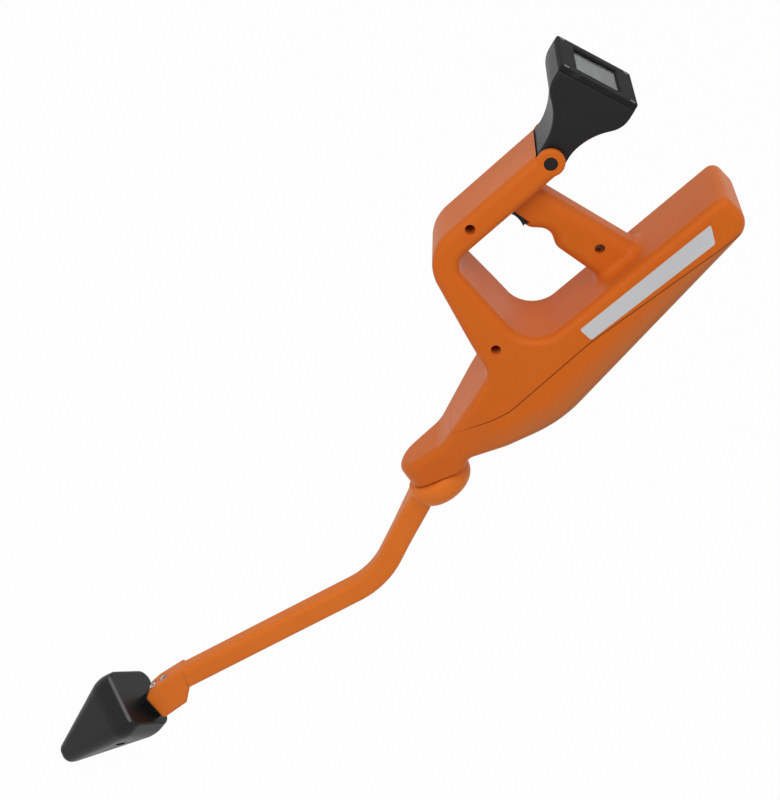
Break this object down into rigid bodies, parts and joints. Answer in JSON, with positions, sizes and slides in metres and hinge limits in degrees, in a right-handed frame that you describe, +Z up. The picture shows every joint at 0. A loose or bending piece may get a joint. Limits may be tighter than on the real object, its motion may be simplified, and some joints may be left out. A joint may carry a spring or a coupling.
{
  "type": "pipe locator",
  "caption": "Hand-held pipe and cable locator: body with loop handle, tilting display head, finger trigger, and a swivelling bent arm that carries a pyramid antenna foot.",
  "frame": {"origin": "middle of the grip, on the plane that parts the body left and right", "axes": "+X back to the tail and the user, +Y to the right side, +Z up along the body"},
  "size_m": [0.2342, 0.094, 0.9869],
  "materials": {
    "orange_plastic": "satin",
    "black_plastic": "satin",
    "black_metal": "satin",
    "steel": "satin",
    "light_metal": "matte",
    "bearing_plastic": "matte",
    "window": "gloss",
    "display": "satin",
    "board": "satin",
    "cell": "gloss",
    "seal": "matte",
    "ferrite": "matte",
    "copper": "gloss"
  },
  "bodies": {
    "housing": {"left_shell": "orange_plastic", "right_shell": "orange_plastic", "shell_screws": "steel", "belly_pan": "orange_plastic", "pan_screws": "steel", "battery_door": "orange_plastic", "door_screw": "steel", "battery_tray": "black_plastic", "battery_cells": "cell", "battery_contacts": "steel", "main_board": "board", "sounder": "black_plastic", "trigger_switch": "black_plastic", "trigger_pin": "steel", "trigger_spring": "steel", "head_pin": "black_metal", "hinge_washers": "bearing_plastic", "swivel_bush": "bearing_plastic"},
    "display_head": {"head_shell": "black_plastic", "hinge_bushes": "bearing_plastic", "head_board": "board", "lcd_module": "display", "display_window": "window", "bezel_gasket": "seal", "head_bezel": "black_plastic", "bezel_screws": "steel"},
    "trigger": {"trigger": "black_plastic"},
    "antenna_arm": {"antenna_arm": "orange_plastic", "swivel_spindle": "steel", "swivel_washer": "steel", "swivel_nut": "steel", "fork_screws": "steel", "foot_tang": "light_metal", "foot_left_shell": "black_plastic", "foot_right_shell": "black_plastic", "foot_clamp_screw": "steel", "antenna_core": "ferrite", "coil_bobbin": "black_plastic", "antenna_coil": "copper"}
  },
  "joints": [
    {"name": "head_tilt", "type": "hinge", "parent": "housing", "child": "display_head", "pos_m": [-0.06688, 0, 0.04758], "axis": [0, 1, 0], "range_deg": [-20, 30]},
    {"name": "trigger_press", "type": "hinge", "parent": "housing", "child": "trigger", "pos_m": [-0.032, 0, -0.0095], "axis": [0, 1, 0], "range_deg": [0, 8], "stiffness_Nm_per_rad": 0.3, "springref_deg": -8.59, "deforming": ["trigger_spring"]},
    {"name": "arm_swivel", "type": "hinge", "parent": "housing", "child": "antenna_arm", "pos_m": [0.055, 0, -0.295], "axis": [0.9397, 0, -0.342], "range_deg": [0, 180]}
  ]
}
